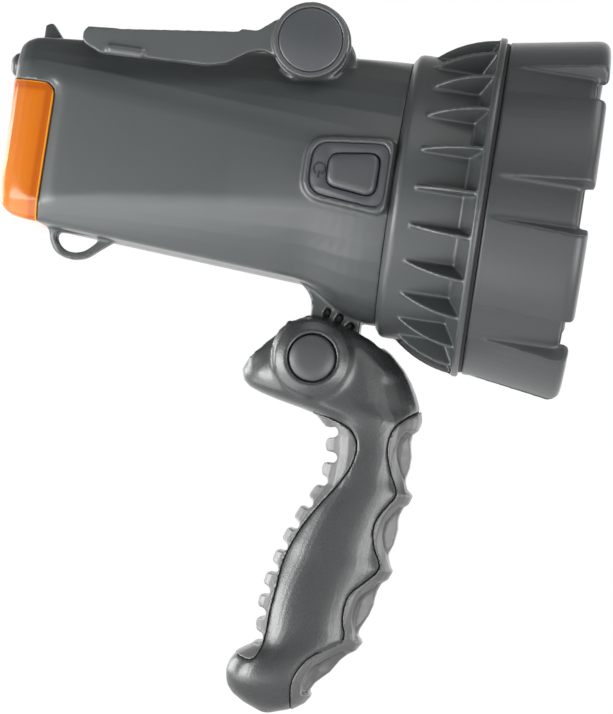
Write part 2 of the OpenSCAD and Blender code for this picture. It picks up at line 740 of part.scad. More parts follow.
module lamp_leds() {
  color([0.95, 0.85, 0.5])
    at_head()
      for (y = [-10, 0, 10], z = [-10, lens_top - 13])
        translate([-lens_x - 1.6, y, z])
          rotate([0, -90, 0])
            rotate_extrude()
              polygon(concat([[0, 0], [2.9, 0], [2.9, 1], [2.5, 1], [2.5, 4]],
                [for (a = [18 : 18 : 90]) [2.5 * cos(a), 4 + 2.5 * sin(a)]]));
}

button_in = wall - body_len + 1.6;
module rear_button() {
  color(grip_grey)
    at_head()
      translate([0, 0, rear_button_z])
        turned([[-body_len - 5.2, 0], [-body_len - 5, 2.4], [-body_len - 4, rear_button_r - 0.5],
          [-body_len - 3, rear_button_r], [button_in - 1.2, rear_button_r],
          [button_in - 1.2, rear_button_r + 1.4], [button_in, rear_button_r + 1.4], [button_in, 0]]);
}

module rear_switch() {
  x0 = button_in + rear_travel + slide_gap;
  floor_z = lens_top + wall;
  color(trim_black)
    at_head() {
      translate([x0 + 1, -4, floor_z])
        cube([6, 8, 8]);
      translate([x0, 0, rear_button_z])
        rotate([0, 90, 0])
          cylinder(r = 1.4, h = 2);
    }
}

module housing_screws() {
  color(steel)
    at_head()
      for (p = posts)
        translate([p[0], 0, p[1]])
          difference() {
            union() {
              rod_y(screw_r, -post_y + 1, post_y + 0.5);
              rod_y(head_r, post_y, post_y + 2.2);
            }
            for (a = [0, 90])
              rotate([0, a, 0])
                translate([-1.8, post_y + 1.2, -0.4])
                  cube([3.6, 2, 0.8]);
          }
}

module stand_pin() {
  color(steel)
    at_stand()
      rod_y(pin_r, -cap_y + 0.4, cap_y - 0.4);
}

// Folding stand: two hubs, two legs and the cross bar over the rear of the body
leg_line = [[-stand_len, -6.4], [-stand_len, -11.6], [6.8 - stand_len, -14.5], [21.3 - stand_len, -14],
  [-33.9, -13.5], [-27.2, -11.8], [-20.4, -7.1], [-15.5, -5.6], [-6, -9], [-4, 8], [-12.6, 5.4],
  [-18.4, 0.7], [-24.3, 0.5], [-24.3, -0.5], [-41.7, -2.6], [12.6 - stand_len, -5.45]];
bar_gap = 0.6;
bar_x = [0.2 - stand_len, 12 - stand_len];
bar_low = [for (x = bar_x) body_top(stand_x + x) + bar_gap - stand_z];
thumb_len = 10;
thumb_x = 10.5 - stand_len;
module stand_side() {
  difference() {
    union() {
      rod_y(hub_r, leg_in, hub_out);
      across(leg_in, leg_in + leg_t)
        polygon(rounded(leg_line, [3, 3, 4, 8, 6, 6, 5, 4, 0, 0, 4, 3, 0.8, 0.8, 0, 0]));
      translate([thumb_x, leg_in + leg_t - 0.6, -12.6])
        rotate([0, 90, 0])
          cylinder(r = 2, h = thumb_len);
      for (x = [thumb_x, thumb_x + thumb_len])
        translate([x, leg_in + leg_t - 0.6, -12.6])
          sphere(r = 2);
    }
    rod_y(pin_r + run_fit, leg_in - 1, hub_out + 1);
    rod_y(cap_r + seat_gap, cap_y, hub_out + 1);
  }
}

module stand_arm() {
  color(housing_grey)
    at_stand() {
      stand_side();
      mirror([0, 1, 0])
        stand_side();
      across(-leg_in - 0.5, leg_in + 0.5)
        polygon(rounded([[bar_x[0], bar_low[0] + 2.4], [bar_x[0], bar_low[0]], [bar_x[1], bar_low[1]],
          [bar_x[1], bar_low[1] + 2.4]], 1));
    }
}

module cap_disc() {
  turned_y([[cap_y, 0], [cap_y, cap_r], [hub_out - 0.3, cap_r], [hub_out + 0.2, cap_r - 0.7],
    [hub_out + 0.2, cap_r - 2], [hub_out - 0.2, cap_r - 2.5], [hub_out - 0.1, 4], [hub_out, 0]]);
}

module stand_cap_left() {
  color(grip_grey)
    at_stand()
      cap_disc();
}

module stand_cap_right() {
  color(grip_grey)
    at_stand()
      mirror([0, 1, 0])
        cap_disc();
}

// Grip volume, grown by e, over a range of heights
function ridge(z) = max([for (r = ridges) r[1] * exp(-pow((z - r[0]) / 3.4, 2))]);
function grip_ring(z, e) = let (a0 = at(rear_edge, z) - e, a1 = at(front_edge, z) + ridge(z) + e,
  a = (a1 - a0) / 2, c = (a1 + a0) / 2, b = at(width_edge, z) + e)
  [for (k = [0 : 27]) let (t = (k + 0.5) * 360 / 28, p = cos(t), q = sin(t))
    [c + a * sign(p) * pow(abs(p), 0.74), b * sign(q) * pow(abs(q), 0.74), z]];
module grip_form(e, z0, z1) {
  loft([for (z = grip_levels) if (z >= z0 && z <= z1) grip_ring(z, e)]);
}

module palm_area() {
  polygon(concat(curve(palm_line, 3), [[-40, -43], [-40, 30], [-17, 42.4]]));
}

module finger_area() {
  polygon(concat(curve(finger_line, 3), [[45, -66], [45, 51]]));
}

// Room for the lug between the cheeks, over the whole swing
module lug_room() {
  at_pivot() {
    rod_y(lug_r + slide_gap + 0.2, -cheek_in, cheek_in);
    across(-cheek_in, cheek_in)
      polygon(concat([[0, 0]], [for (a = [18 : 12 : 190]) 32 * [cos(a), sin(a)]]));
  }
}

module hub_ring() {
  turned_y([[14, release_r], [14, 13.8], [17.6, 13.8], [19.2, 12.8], [hub_face - 0.3, 11], [hub_face, 10],
    [hub_face - 0.2, release_r + 0.9], [hub_face - 0.7, release_r]]);
}

// Both hard halves before their own cuts, near side
module grip_half() {
  difference() {
    union() {
      intersection() {
        grip_form(0, -63, 76);
        translate([-60, -40, -70])
          cube([100, 40, 160]);
      }
      at_pivot()
        mirror([0, 1, 0])
          hub_ring();
    }
    across(-40, 1)
      palm_area();
    across(-40, 1)
      finger_area();
    lug_room();
  }
}

module grip_right() {
  color(grip_grey)
    difference() {
      grip_half();
      at_pivot() {
        rod_y(release_r + slide_gap, -hub_face - 2, -well_y);
        rod_y(bolt_r, -well_y - 1, -cheek_in + 1);
      }
      for (p = grip_screw_at)
        translate([p[0], 0, p[1]])
          rod_y(screw_r, -8, 1);
    }
}

module grip_left() {
  color(grip_grey)
    difference() {
      mirror([0, 1, 0])
        grip_half();
      at_pivot() {
        rod_y(release_r + seat_gap, bolt_y, hub_face + 2);
        rod_y(bolt_r, cheek_in - 1, bolt_y + 1);
      }
      for (p = grip_screw_at)
        translate([p[0], 0, p[1]]) {
          rod_y(screw_r, -1, 11);
          rod_y(head_r + 0.3, 9, 30);
        }
    }
}

// Side of a palm groove: straight inside, then round over the shoulder of the tooth
shoulder = 1.5;
function groove_side(s, back = false) = let (
  p = [for (t = [0 : 22.5 : 90]) [shoulder * (1 - sin(t)) - proud, s * (1.9 + shoulder * (1 - cos(t)))]],
  q = concat(p, [[-9, s * (1.9 + shoulder)]]))
  back ? [for (k = [len(q) - 1 : -1 : 0]) q[k]] : q;

// Palm rubber: grooves of equal pitch follow the rear edge
module palm_insert() {
  color(rubber_grey)
    difference() {
      intersection() {
        grip_form(proud, -46.5, 45.5);
        across(-40, 40)
          palm_area();
      }
      for (k = [0 : tooth_count - 1])
        let (z = lerp(36.5, -37, k / (tooth_count - 1)), d = k < 2 ? 4.4 : 3.2,
          lean = atan2(at(rear_edge, z + 1) - at(rear_edge, z - 1), 2))
          translate([at(rear_edge, z), 0, z])
            rotate([0, lean, 0])
              across(-30, 30) {
                translate([d - 1.9, 0])
                  circle(r = 1.9, $fn = 32);
                polygon(concat([[d - 1.9, -1.9]], groove_side(-1), groove_side(1, true), [[d - 1.9, 1.9]]));
              }
    }
}

// Finger rubber: ridges between the fingers, a shallow scoop on each side of every finger
scoop_r = 12;
module finger_insert() {
  color(rubber_grey)
    difference() {
      intersection() {
        grip_form(proud, -63, 54);
        across(-40, 40)
          finger_area();
      }
      for (k = [0 : 3], s = [-1, 1])
        let (z = (ridges[k][0] + ridges[k + 1][0]) / 2)
          translate([at(front_edge, z) + 6, s * (at(width_edge, z) + 1), z])
            rotate([0, atan2(at(front_edge, z + 6) - at(front_edge, z - 6), 12), 0])
              scale([1, 1, 1.3])
                sphere(r = scoop_r);
    }
}

// Shoulder bolt with a blind well for the release spring
module pivot_bolt() {
  color(steel)
    at_pivot()
      difference() {
        union() {
          rod_y(bolt_r, -well_y, bolt_y);
          rod_y(release_r - 0.6, bolt_y, bolt_y + 3);
        }
        rod_y(spring_r + wire_r + 0.4, -well_y - 1, well_end);
        translate([-5, bolt_y + 1.6, -0.7])
          cube([10, 3, 1.4]);
      }
}

module pivot_cap() {
  color(grip_grey)
    at_pivot()
      turned_y([[bolt_y + 3, 0], [bolt_y + 3, release_r], [hub_face - 0.4, release_r],
        [hub_face + 0.2, release_r - 0.8], [hub_face + 0.5, 4], [hub_face + 0.6, 0]]);
}

module release_button() {
  color(grip_grey)
    at_pivot()
      mirror([0, 1, 0])
        turned_y([[4, 0], [4, spring_r - wire_r - 0.5], [press_y, spring_r - wire_r - 0.5],
          [press_y, release_r], [hub_face - 0.2, release_r], [hub_face + 0.4, release_r - 0.8],
          [hub_face + 0.7, 4], [hub_face + 0.8, 0]]);
}

// Return spring, drawn at its pressed length so that it clears the bottom of the well
module release_spring() {
  steps = 16 * spring_turns;
  rise_y = (spring_len - 2 * wire_r) / steps;
  echo(least_gap = (spring_len - 2 * wire_r) / spring_turns - 2 * wire_r);
  color(steel)
    at_pivot()
      loft([for (i = [steps : -1 : 0]) let (a = i * 22.5)
        [for (k = [0 : 5]) let (r = spring_r + wire_r * cos(60 * k))
          [r * cos(a), -press_y + wire_r + i * rise_y + wire_r * sin(60 * k), r * sin(a)]]]);
}

module grip_screws() {
  color(steel)
    for (p = grip_screw_at)
      translate([p[0], 0, p[1]])
        difference() {
          union() {
            rod_y(screw_r, -7.5, 9.5);
            rod_y(head_r, 9, 11.2);
          }
          for (a = [0, 90])
            rotate([0, a, 0])
              translate([-1.8, 10.3, -0.4])
                cube([3.6, 2, 0.8]);
        }
}

housing_right();
housing_left();
cooling_collar();
collar_seal();
front_bezel();
lens_ring();
front_lens();
lens_gasket();
reflector();
bulb_glass();
bulb_base();
bulb_holder();
battery();
battery_terminals();
switch_panel();
main_switch();
power_button();
amber_lens();
lamp_board();
lamp_leds();
rear_switch();
rear_button();
housing_screws();
stand_pin();
stand_arm();
stand_cap_right();
stand_cap_left();
grip_right();
grip_left();
palm_insert();
finger_insert();
pivot_bolt();
pivot_cap();
release_button();
release_spring();
grip_screws();
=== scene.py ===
import json
import math

import bpy
from mathutils import Matrix, Vector


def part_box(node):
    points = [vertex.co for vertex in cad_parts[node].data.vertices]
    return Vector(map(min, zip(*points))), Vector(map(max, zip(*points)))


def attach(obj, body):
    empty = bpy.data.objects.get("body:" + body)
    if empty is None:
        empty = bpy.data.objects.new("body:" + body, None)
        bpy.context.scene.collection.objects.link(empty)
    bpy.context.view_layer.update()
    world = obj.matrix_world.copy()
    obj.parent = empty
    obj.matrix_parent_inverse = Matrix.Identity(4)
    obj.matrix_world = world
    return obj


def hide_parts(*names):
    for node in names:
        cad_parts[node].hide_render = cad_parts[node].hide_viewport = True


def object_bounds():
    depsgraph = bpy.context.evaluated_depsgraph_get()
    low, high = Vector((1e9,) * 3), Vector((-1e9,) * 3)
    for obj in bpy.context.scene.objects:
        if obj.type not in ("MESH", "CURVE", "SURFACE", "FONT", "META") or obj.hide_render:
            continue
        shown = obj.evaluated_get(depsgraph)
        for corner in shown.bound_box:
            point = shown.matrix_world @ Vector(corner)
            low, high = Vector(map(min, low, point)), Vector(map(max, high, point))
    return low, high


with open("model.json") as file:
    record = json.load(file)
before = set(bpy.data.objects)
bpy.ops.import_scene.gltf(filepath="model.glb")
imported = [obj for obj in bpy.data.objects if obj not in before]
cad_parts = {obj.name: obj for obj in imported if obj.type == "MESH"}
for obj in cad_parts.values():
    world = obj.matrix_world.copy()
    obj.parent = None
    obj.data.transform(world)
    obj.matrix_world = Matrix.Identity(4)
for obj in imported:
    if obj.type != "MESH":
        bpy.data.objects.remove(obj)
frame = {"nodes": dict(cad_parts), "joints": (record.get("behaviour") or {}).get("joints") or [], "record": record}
cadBox = [list(corner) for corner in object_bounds()]
record = frame["record"]
nodes = frame["nodes"]
bodyOf = {name: body for body, names in record["behaviour"]["bodies"].items() for name in names}
slotOf = {row["node"]: row["material_slot"] for row in record["subparts"]}
tiltHinge = next(joint for joint in frame["joints"] if joint["name"] == "head_tilt")
pivot = Vector(tiltHinge["pos_m"])
mm = 0.001
print("frame loaded:", len(nodes), "nodes")


# small helpers for working as in the viewport
def clearSelection():
    if bpy.context.mode != "OBJECT":
        bpy.ops.object.mode_set(mode="OBJECT")
    bpy.ops.object.select_all(action="DESELECT")


def pick(piece):
    clearSelection()
    piece.select_set(True)
    bpy.context.view_layer.objects.active = piece


def editAll(piece):
    pick(piece)
    bpy.ops.object.mode_set(mode="EDIT")
    bpy.ops.mesh.select_all(action="SELECT")


def applyModifiers(piece):
    pick(piece)
    for modifier in list(piece.modifiers):
        bpy.ops.object.modifier_apply(modifier=modifier.name)


def putAt(piece, place):  # the place goes into the mesh
    piece.matrix_world = place
    pick(piece)
    bpy.ops.object.transform_apply()


def joinTo(piece):  # what is being edited becomes a part of the piece
    bpy.ops.object.mode_set(mode="OBJECT")
    piece.select_set(True)
    bpy.context.view_layer.objects.active = piece
    bpy.ops.object.join()


def plainName(nodeName):  # front_bezel becomes frontBezel
    first, *rest = nodeName.split("_")
    return first + "".join(word.title() for word in rest)


def rise(value, start, over):  # 0 up to start, then growing to 1
    return max(0, min(1, (value - start) / over))


def fall(value, end, over):  # 1, then shrinking to 0 at end
    return max(0, min(1, (end - value) / over))


# finishes
def newGroup(name, inputs, outputs):
    group = bpy.data.node_groups.new(name, "ShaderNodeTree")
    for label, kind in inputs:
        group.interface.new_socket(label, in_out="INPUT", socket_type="NodeSocket" + kind)
    for label, kind in outputs:
        group.interface.new_socket(label, in_out="OUTPUT", socket_type="NodeSocket" + kind)
    return group, group.nodes.new("NodeGroupInput"), group.nodes.new("NodeGroupOutput")


def addMath(tree, operation, first, second=0):
    node = tree.nodes.new("ShaderNodeMath")
    node.operation = operation
    for socket, value in zip(node.inputs, (first, second)):
        if isinstance(value, bpy.types.NodeSocket):
            tree.links.new(value, socket)
        else:
            socket.default_value = value
    return node.outputs[0]


def addNoise(tree, position, scale, detail=2):
    node = tree.nodes.new("ShaderNodeTexNoise")
    node.inputs["Detail"].default_value = detail
    tree.links.new(position, node.inputs["Vector"])
    if isinstance(scale, bpy.types.NodeSocket):
        tree.links.new(scale, node.inputs["Scale"])
    else:
        node.inputs["Scale"].default_value = scale
    return node.outputs["Fac"]


grainLook = {"detail": 3, "driftScale": 38, "middle": 0.5, "depth": 0.35}  # depth in grains


def buildMouldGrain(look):  # spark-eroded grain of a moulded surface, with slow tone drift
    group, inside, outside = newGroup(
        "mouldGrain",
        (("Position", "Vector"), ("Tint", "Color"), ("Roughness", "Float"), ("GrainScale", "Float"),
         ("Drift", "Float"), ("RoughSpread", "Float")),
        (("Color", "Color"), ("Roughness", "Float"), ("Height", "Float")))
    position = inside.outputs["Position"]
    grain = addNoise(group, position, inside.outputs["GrainScale"], look["detail"])
    drift = addMath(group, "SUBTRACT", addNoise(group, position, look["driftScale"]), look["middle"])
    shade = addMath(group, "ADD", addMath(group, "MULTIPLY", drift, inside.outputs["Drift"]), 1)
    tint = group.nodes.new("ShaderNodeVectorMath")
    tint.operation = "SCALE"
    group.links.new(inside.outputs["Tint"], tint.inputs[0])
    group.links.new(shade, tint.inputs["Scale"])
    group.links.new(tint.outputs[0], outside.inputs["Color"])
    spread = addMath(group, "SUBTRACT", grain, look["middle"])
    spread = addMath(group, "MULTIPLY", spread, inside.outputs["RoughSpread"])
    rough = addMath(group, "ADD", inside.outputs["Roughness"], spread)
    group.links.new(rough, outside.inputs["Roughness"])
    group.links.new(grain, outside.inputs["Height"])
    return group


mouldGrain = buildMouldGrain(grainLook)


def newMaterial(name):
    material = bpy.data.materials.new(name)
    material.use_nodes = True
    return material, material.node_tree, material.node_tree.nodes["Principled BSDF"]


def mouldedFinish(name, look):
    material, tree, surface = newMaterial(name)
    position = tree.nodes.new("ShaderNodeTexCoord").outputs["Object"]
    grain = tree.nodes.new("ShaderNodeGroup")
    grain.node_tree = mouldGrain
    tree.links.new(position, grain.inputs["Position"])
    grain.inputs["Tint"].default_value = (*look["tint"], 1)
    grain.inputs["Roughness"].default_value = look["rough"]
    grain.inputs["GrainScale"].default_value = 1 / look["grain"]
    grain.inputs["Drift"].default_value = look["drift"]
    grain.inputs["RoughSpread"].default_value = look["spread"]
    bump = tree.nodes.new("ShaderNodeBump")
    bump.inputs["Strength"].default_value = look["bump"]
    bump.inputs["Distance"].default_value = look["grain"] * grainLook["depth"]
    tree.links.new(grain.outputs["Height"], bump.inputs["Height"])
    tree.links.new(grain.outputs["Color"], surface.inputs["Base Color"])
    tree.links.new(grain.outputs["Roughness"], surface.inputs["Roughness"])
    tree.links.new(bump.outputs["Normal"], surface.inputs["Normal"])
    surface.inputs["Specular IOR Level"].default_value = look["gloss"]
    return material


finishes = {
    "housing_plastic": {"tint": (0.047, 0.053, 0.053), "rough": 0.37, "grain": 0.5 * mm, "drift": 0.14,
                        "spread": 0.18, "bump": 0.12, "gloss": 0.7},
    "grip_plastic": {"tint": (0.027, 0.029, 0.030), "rough": 0.29, "grain": 0.5 * mm, "drift": 0.16,
                     "spread": 0.2, "bump": 0.22, "gloss": 0.85},
    "bezel_rubber": {"tint": (0.039, 0.043, 0.045), "rough": 0.37, "grain": 0.6 * mm, "drift": 0.14,
                     "spread": 0.18, "bump": 0.12, "gloss": 0.65},
    "grip_rubber": {"tint": (0.086, 0.089, 0.086), "rough": 0.36, "grain": 0.7 * mm, "drift": 0.18,
                    "spread": 0.16, "bump": 0.12, "gloss": 0.8},
    "button_rubber": {"tint": (0.047, 0.051, 0.054), "rough": 0.38, "grain": 0.6 * mm, "drift": 0.12,
                      "spread": 0.2, "bump": 0.2, "gloss": 0.65},
    # the housing plastic painted lighter for the stand arm: painted light making up for light the arm lacks
    "stand_plastic": {"tint": (0.066, 0.073, 0.073), "rough": 0.36, "grain": 0.5 * mm, "drift": 0.14,
                      "spread": 0.18, "bump": 0.12, "gloss": 0.7},
    "cap_plastic": {"tint": (0.055, 0.060, 0.066), "rough": 0.36, "grain": 0.6 * mm, "drift": 0.14,
                    "spread": 0.2, "bump": 0.2, "gloss": 0.7},
    "black_rubber": {"tint": (0.008, 0.008, 0.008), "rough": 0.6, "grain": 0.6 * mm, "drift": 0.1,
                     "spread": 0.16, "bump": 0.10, "gloss": 0.5},
    "black_plastic": {"tint": (0.018, 0.018, 0.019), "rough": 0.45, "grain": 0.5 * mm, "drift": 0.1,
                      "spread": 0.16, "bump": 0.10, "gloss": 0.5},
    "battery_case": {"tint": (0.02, 0.02, 0.024), "rough": 0.3, "grain": 0.8 * mm, "drift": 0.1,
                     "spread": 0.1, "bump": 0.06, "gloss": 0.5},
    "board": {"tint": (0.02, 0.1, 0.04), "rough": 0.35, "grain": 0.9 * mm, "drift": 0.2,
              "spread": 0.1, "bump": 0.05, "gloss": 0.5},
    "led_plastic": {"tint": (0.85, 0.7, 0.3), "rough": 0.2, "grain": 1.5 * mm, "drift": 0.1,
                    "spread": 0.05, "bump": 0.02, "gloss": 0.5},
}
finishOf = {slot: mouldedFinish(plainName(slot), look) for slot, look in finishes.items()}


def polishedFinish(name, look):  # metal and glass: one colour, faint smears in the gloss
    material, tree, surface = newMaterial(name)
    position = tree.nodes.new("ShaderNodeTexCoord").outputs["Object"]
    surface.inputs["Base Color"].default_value = (*look["tint"], 1)
    for label, value in look["sockets"].items():
        surface.inputs[label].default_value = value
    smear = addMath(tree, "MULTIPLY", addNoise(tree, position, look["smearScale"]), look["smear"])
    tree.links.new(addMath(tree, "ADD", smear, look["rough"]), surface.inputs["Roughness"])
    return material


metal = {"sockets": {"Metallic": 1}, "smearScale": 900, "smear": 0.12}
glass = {"sockets": {"Transmission Weight": 1, "IOR": 1.46}, "smearScale": 60, "smear": 0.02}
polished = {
    "bright_steel": {**metal, "tint": (0.5, 0.5, 0.52), "rough": 0.26},
    "mirror_coat": {**metal, "tint": (0.64, 0.65, 0.66), "rough": 0.02},
    "clear_lens": {**glass, "tint": (0.96, 0.98, 0.98), "rough": 0.0},
    "bulb_glass": {**glass, "tint": (0.98, 0.98, 0.96), "rough": 0.0},
}
for slot, look in polished.items():
    finishOf[slot] = polishedFinish(plainName(slot), look)


lensLow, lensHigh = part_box("amber_lens")
amber = {
    # the rim's place, and the width over which the painted shadow and painted rim light are spread
    "edge": lensHigh[0], "top": lensHigh[2], "band": 6 * mm,
    "rough": 0.2, "gloss": 0.4, "smokeScale": 90, "smoke": 0.06,
    # a painted glow spot: yellow mixed into the colour as if a lamp shone through the cover
    "glow": (0.8, 0.4, 0.03, 1), "glowShare": 0.9, "glowBase": 2.2, "glowFall": 1.6,
    "glowAt": (-131 * mm, 15 * mm, 110 * mm), "glowSize": (4.2 * mm, 7 * mm, 8 * mm),
    # colour stops from inside out: plain amber, a band of painted shadow, a bright rim of painted light
    "ramp": ((0.0, (0.47, 0.125, 0.008, 1)), (0.4, (0.44, 0.112, 0.006, 1)),
             (0.6, (0.34, 0.07, 0.003, 1)), (0.87, (0.37, 0.08, 0.004, 1)),
             (0.93, (0.7, 0.27, 0.02, 1)), (1.0, (0.66, 0.25, 0.02, 1)))}  # from inside out to the rim


# tinted light cover, its colour holding painted light: a painted shadow just inside its rim, a painted bright rim,
# and a painted glow as of a lamp behind
def amberPaintedLightFinish(look):
    material, tree, surface = newMaterial("amberPlastic")
    position = tree.nodes.new("ShaderNodeTexCoord").outputs["Object"]
    split = tree.nodes.new("ShaderNodeSeparateXYZ")
    tree.links.new(position, split.inputs[0])
    along, across, up = split.outputs
    # painted shadow and painted rim light, by distance inside the rim
    over = addMath(tree, "SUBTRACT", along, look["edge"])
    above = addMath(tree, "SUBTRACT", up, look["top"])
    inside = addMath(tree, "DIVIDE", addMath(tree, "MAXIMUM", over, above), look["band"])
    ramp = tree.nodes.new("ShaderNodeValToRGB")
    tree.links.new(addMath(tree, "ADD", inside, 1), ramp.inputs["Fac"])
    stops = ramp.color_ramp.elements
    for row in look["ramp"][1:-1]:
        stops.new(row[0])
    for stop, (place, colour) in zip(stops, look["ramp"]):
        stop.position = place
        stop.color = colour
    parts = []
    # painted glow: a yellow spot in the colour, fading out from its centre
    for value, middle, size in zip((along, addMath(tree, "ABSOLUTE", across), up),
                                   look["glowAt"], look["glowSize"]):
        offset = addMath(tree, "DIVIDE", addMath(tree, "SUBTRACT", value, middle), size)
        parts.append(addMath(tree, "MULTIPLY", offset, offset))
    away = addMath(tree, "ADD", addMath(tree, "ADD", parts[0], parts[1]), parts[2])
    fade = addMath(tree, "MULTIPLY", away, -look["glowFall"])
    glow = addMath(tree, "MULTIPLY", addMath(tree, "POWER", look["glowBase"], fade), look["glowShare"])
    mix = tree.nodes.new("ShaderNodeMix")
    mix.data_type = "RGBA"
    tree.links.new(addMath(tree, "MINIMUM", glow, 1), mix.inputs["Factor"])
    tree.links.new(ramp.outputs["Color"], mix.inputs["A"])
    mix.inputs["B"].default_value = look["glow"]
    tree.links.new(mix.outputs["Result"], surface.inputs["Base Color"])
    smoke = addMath(tree, "MULTIPLY", addNoise(tree, position, look["smokeScale"], 1), look["smoke"])
    rough = addMath(tree, "ADD", smoke, look["rough"] - look["smoke"] / 2)
    tree.links.new(rough, surface.inputs["Roughness"])
    surface.inputs["Specular IOR Level"].default_value = look["gloss"]
    return material


finishOf["amber_plastic"] = amberPaintedLightFinish(amber)
for name, node in nodes.items():
    node.data.materials.clear()
    node.data.materials.append(finishOf[slotOf[name]])
print("finishes made:", len(finishOf))


weld = {"node": 0.002 * mm, "sliver": 0.01 * mm, "spun": 0.02 * mm, "mark": 0.001 * mm}
smoothUnder = {"moulded": 60, "mark": 50, "small": 35}  # degrees between faces


def copyOf(nodeName):  # a copy of a node, its loose triangles merged into one skin
    piece = bpy.data.objects.new(plainName(nodeName), nodes[nodeName].data.copy())
    bpy.context.collection.objects.link(piece)
    editAll(piece)
    bpy.ops.mesh.customdata_custom_splitnormals_clear()
    bpy.ops.mesh.remove_doubles(threshold=weld["node"])
    bpy.ops.object.mode_set(mode="OBJECT")
    return piece


# the stand arm gets the housing plastic painted lighter, as painted light
ownFinish = {"stand_arm": "stand_plastic", "stand_cap_right": "cap_plastic",
             "stand_cap_left": "cap_plastic", "switch_panel": "cap_plastic"}


def settle(piece, nodeName):
    if nodeName in ownFinish:
        piece.data.materials[0] = finishOf[ownFinish[nodeName]]
    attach(piece, bodyOf[nodeName])
    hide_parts(nodeName)


def smoothByAngle(piece, degrees):
    pick(piece)
    bpy.ops.object.shade_smooth_by_angle(angle=math.radians(degrees))


# small parts: a fine radius on every sharp edge
fineEdge = {"level": 0.6, "sharp": 38, "segments": 2}  # level and sharp in degrees


def dress(nodeName, look):
    piece = copyOf(nodeName)
    if look.get("flat"):
        top = max(abs(vertex.co.y) for vertex in piece.data.vertices)
        for vertex in piece.data.vertices:
            if abs(vertex.co.y) > top - look["flat"]:
                vertex.co.y = math.copysign(top - look["flat"] / 2, vertex.co.y)
    editAll(piece)
    bpy.ops.mesh.dissolve_limited(angle_limit=math.radians(fineEdge["level"]))
    bpy.ops.object.mode_set(mode="OBJECT")
    bevel = piece.modifiers.new("edge", "BEVEL")
    bevel.width = look["edge"]
    bevel.segments = fineEdge["segments"]
    bevel.limit_method = "ANGLE"
    bevel.angle_limit = math.radians(fineEdge["sharp"])
    bevel.miter_outer = "MITER_ARC"
    applyModifiers(piece)
    smoothByAngle(piece, smoothUnder["small"])
    settle(piece, nodeName)


# moulded parts: reskinned on a fine grid, so that edges round off as they do in a mould
def addSmooth(piece, rounds, group=""):
    even = piece.modifiers.new("even", "SMOOTH")
    even.iterations = rounds
    even.vertex_group = group
    return even


def reskin(piece, voxel, rounds):
    skin = piece.modifiers.new("skin", "REMESH")
    skin.mode = "VOXEL"
    skin.voxel_size = voxel
    addSmooth(piece, rounds)
    applyModifiers(piece)


def mould(nodeName, look):
    piece = copyOf(nodeName)
    reskin(piece, look["voxel"], look["rounds"])
    if look.get("near"):
        soft = piece.vertex_groups.new(name="soft")
        for vertex in piece.data.vertices:
            weight = look["near"](vertex.co)
            if weight > 0:
                soft.add([vertex.index], weight, "REPLACE")
        addSmooth(piece, look["nearRounds"], soft.name)
        applyModifiers(piece)
    if look.get("shape"):
        look["shape"](piece)
    if look.get("sideRounds"):
        level = addSmooth(piece, look["sideRounds"])
        level.use_x = level.use_z = False
    if look.get("keep"):
        thin = piece.modifiers.new("thin", "DECIMATE")
        thin.ratio = look["keep"]
    applyModifiers(piece)
    piece.vertex_groups.clear()
    smoothByAngle(piece, smoothUnder["moulded"])
    settle(piece, nodeName)
    print(" ", piece.name, len(piece.data.polygons), "faces")


lensRim = {"start": 0.5 * mm, "full": 1.1 * mm, "fade": 3.4 * mm, "end": 6 * mm}


def besideLens(place):  # 1 on the step round the rear light's opening, 0 at its wall and further off
    away = max(place.x - lensHigh[0], place.z - lensHigh[2])
    return min(rise(away, lensRim["start"], lensRim["full"] - lensRim["start"]),
               fall(away, lensRim["end"], lensRim["end"] - lensRim["fade"]))


lensCorner = {"height": 15 * mm, "heightFade": 5 * mm, "back": 4 * mm, "backFade": 4 * mm}


def lensFoot(place):  # 1 at the lower rear corner of the rear light
    low = fall(place.z, lensLow[2] + lensCorner["height"], lensCorner["heightFade"])
    return low * fall(place.x, lensHigh[0] - lensCorner["back"], lensCorner["backFade"])


def awayFrom(line, at):  # distance of a point from a line of points
    nearest = math.inf
    for first, second in zip(line, line[1:]):
        span = second - first
        share = max(0, min(1, (at - first).dot(span) / span.length_squared))
        nearest = min(nearest, (first + span * share - at).length)
    return nearest


# crown of the grip from the side: from the beak's foot round its tip and over the top to the front
crownLine = [Vector(point) * mm for point in (
    (-12.5, 42), (-18, 43.5), (-28, 45.5), (-38, 48.5), (-40.6, 51), (-41.5, 54), (-40, 58),
    (-36.3, 62), (-28, 71), (-21, 76), (-14, 76), (-2.4, 73), (6.9, 69), (15.2, 62), (19.4, 56),
    (22.2, 50))]
beak = {  # lengths in mm, turns in degrees about the hinge
    "turn": (84, 100, 184, 194), "spread": 3,  # filling starts, is full, is last full and ends
    "reach": 30, "measured": (9.5, 14), "inner": 8, "outer": 16.4, "sideFade": 1, "blend": 3.5,
    "voxel": 0.55, "rounds": 3}


def reachOfCrown(turn):  # how far the crown's outline lies from the hinge, seen from the side
    far = 0
    ray = Vector((math.cos(turn), math.sin(turn)))
    for first, second in zip(crownLine, crownLine[1:]):
        start = first - Vector((pivot.x, pivot.z))
        span = second - first
        cross = ray.x * span.y - ray.y * span.x
        if abs(cross) > 1e-12:  # not along the ray
            share = (ray.y * start.x - ray.x * start.y) / cross
            if 0 <= share <= 1:
                far = max(far, (start + span * share).dot(ray))
    return far


